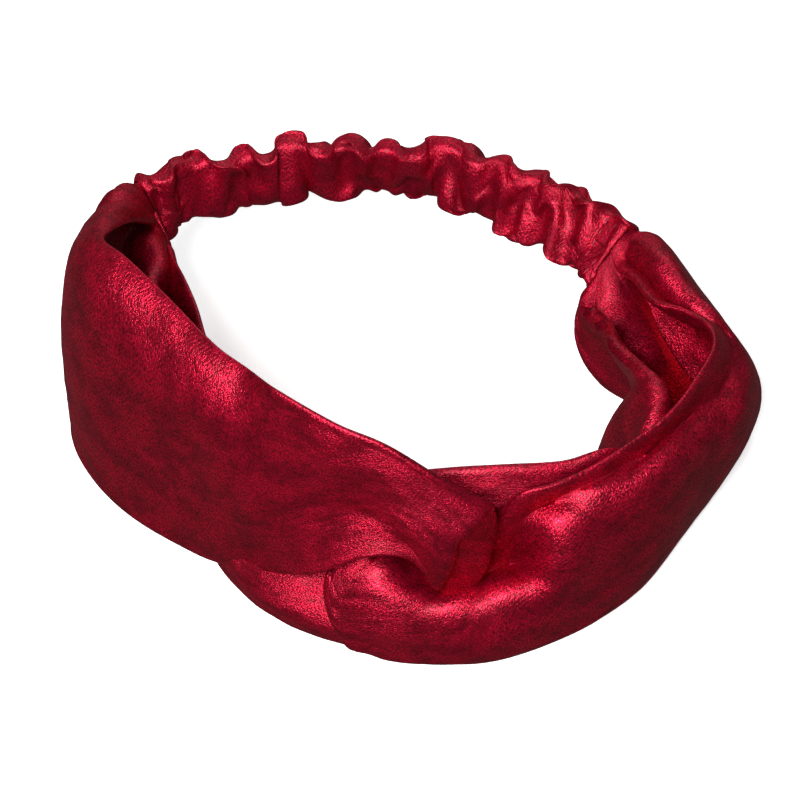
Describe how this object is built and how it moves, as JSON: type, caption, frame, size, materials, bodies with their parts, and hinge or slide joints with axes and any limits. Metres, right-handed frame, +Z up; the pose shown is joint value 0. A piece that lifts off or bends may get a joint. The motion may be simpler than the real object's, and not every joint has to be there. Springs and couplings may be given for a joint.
{
  "type": "twist-front headband",
  "caption": "Soft twist-front headband: wide satin fabric tubes folded and hooked through one another at the front, joined at the back by a gathered elastic casing.",
  "frame": {"origin": "middle of the footprint's bounding box, on the surface the lower edges rest on", "axes": "+Z up as it lies on a table, -Y towards the knot, +Y towards the elastic casing, +X to the right seen from the knot's side"},
  "size_m": [0.1741, 0.1433, 0.0752],
  "materials": {
    "left_satin": "crimson hammered satin, soft sheen",
    "right_satin": "crimson hammered satin, soft sheen",
    "casing_satin": "crimson hammered satin, soft sheen",
    "elastic": "white woven elastic, matt",
    "thread": "dark red polyester thread"
  },
  "bodies": {
    "front": {"left_band": "left_satin", "right_band": "right_satin", "left_mouth_stitching": "thread", "right_mouth_stitching": "thread", "left_elastic_tack": "thread", "right_elastic_tack": "thread"},
    "rear": {"rear_casing": "casing_satin", "elastic_strip": "elastic"}
  },
  "joints": [
    {"name": "elastic_stretch", "type": "slide", "parent": "front", "child": "rear", "axis": [0, 1, 0], "range_m": [0, 0.05], "stiffness_N_per_m": 120, "deforming": ["rear_casing", "elastic_strip"]}
  ]
}
